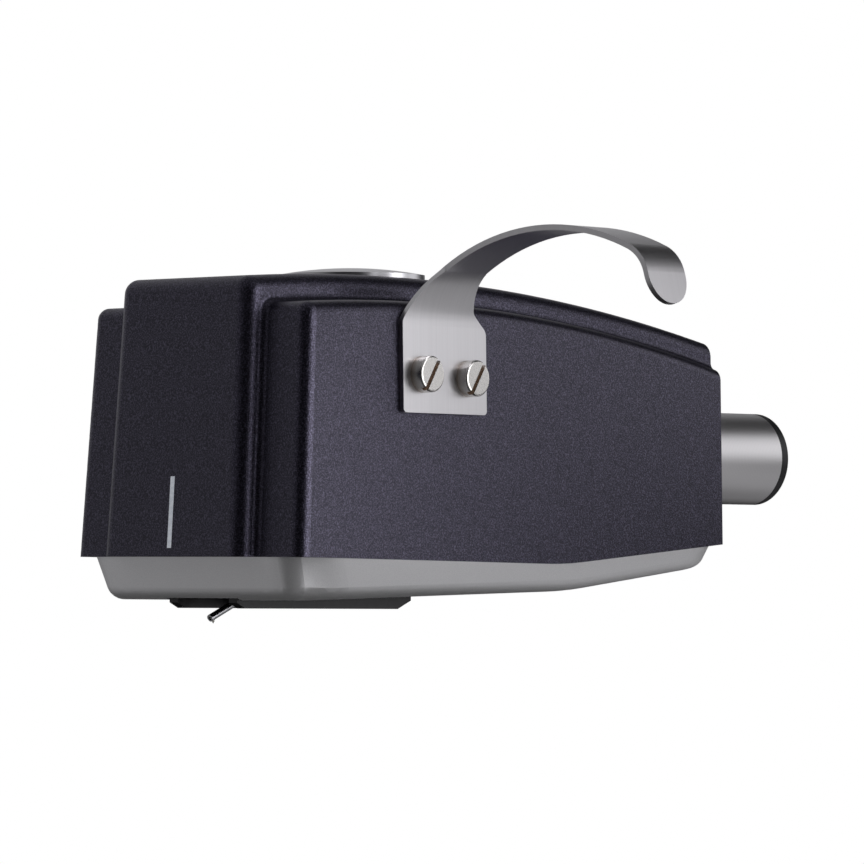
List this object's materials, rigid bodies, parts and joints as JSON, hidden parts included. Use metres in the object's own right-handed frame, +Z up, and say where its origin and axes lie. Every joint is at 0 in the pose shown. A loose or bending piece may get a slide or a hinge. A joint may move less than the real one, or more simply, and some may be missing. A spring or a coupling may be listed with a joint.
{
  "type": "turntable stylus cartridge",
  "caption": "Moving-coil stylus cartridge built into a tapered headshell, with a round plug for the tonearm, an arched finger lift and a closed bottom cover.",
  "frame": {"origin": "on the plug's axis, in the plane of the shell's rear face that stops against the tonearm", "axes": "+X along the plug's axis, rearwards into the tonearm; +Z up, away from the record; the finger lift is towards -Y"},
  "size_m": [0.0694, 0.0488, 0.0322],
  "materials": {
    "shell_paint": "satin",
    "cover_paint": "satin",
    "line_fill": "matte",
    "badge_metal": "satin",
    "lift_steel": "brushed",
    "screw_nickel": "bright",
    "plug_nickel": "polished",
    "black_plastic": "satin",
    "gold_plate": "polished",
    "soft_iron": "ground",
    "magnet_alloy": "ground",
    "copper": "enamelled",
    "former": "matte",
    "damper_rubber": "matte",
    "spring_wire": "bright",
    "cantilever_aluminium": "anodised",
    "diamond": "polished",
    "lead_red": "satin",
    "lead_green": "satin",
    "lead_white": "satin",
    "lead_blue": "satin",
    "sleeve_plastic": "satin"
  },
  "bodies": {
    "headshell": {"shell": "shell_paint", "bottom_cover": "cover_paint", "index_line": "line_fill", "badge": "badge_metal", "finger_lift": "lift_steel", "finger_lift_screws": "screw_nickel", "plug_tube": "plug_nickel", "plug_insulator": "black_plastic", "contact_pins": "gold_plate", "locking_pin": "plug_nickel", "generator_body": "black_plastic", "generator_screws": "screw_nickel", "front_pole": "soft_iron", "magnet": "magnet_alloy", "rear_yoke": "soft_iron", "pole_pin": "soft_iron", "terminal_pins": "gold_plate", "lead_wire_red": "lead_red", "lead_wire_green": "lead_green", "lead_wire_white": "lead_white", "lead_wire_blue": "lead_blue", "wire_sleeves": "sleeve_plastic", "cover_screw": "screw_nickel"},
    "suspension": {"tie_wire": "spring_wire", "damper": "damper_rubber"},
    "stylus_system": {"cantilever": "cantilever_aluminium", "stylus": "diamond", "armature": "former", "coils_left": "copper", "coils_right": "copper"}
  },
  "joints": [
    {"name": "stylus_sideways", "type": "hinge", "parent": "headshell", "child": "suspension", "pos_m": [-0.0454, 0, -0.01082], "axis": [-0.4226, 0, 0.9063], "range_deg": [-2.5, 2.5], "stiffness_Nm_per_rad": 0.005, "deforming": ["damper"]},
    {"name": "stylus_up_down", "type": "hinge", "parent": "suspension", "child": "stylus_system", "pos_m": [-0.0454, 0, -0.01082], "axis": [0, 1, 0], "range_deg": [-1.5, 4.5], "stiffness_Nm_per_rad": 0.005}
  ]
}
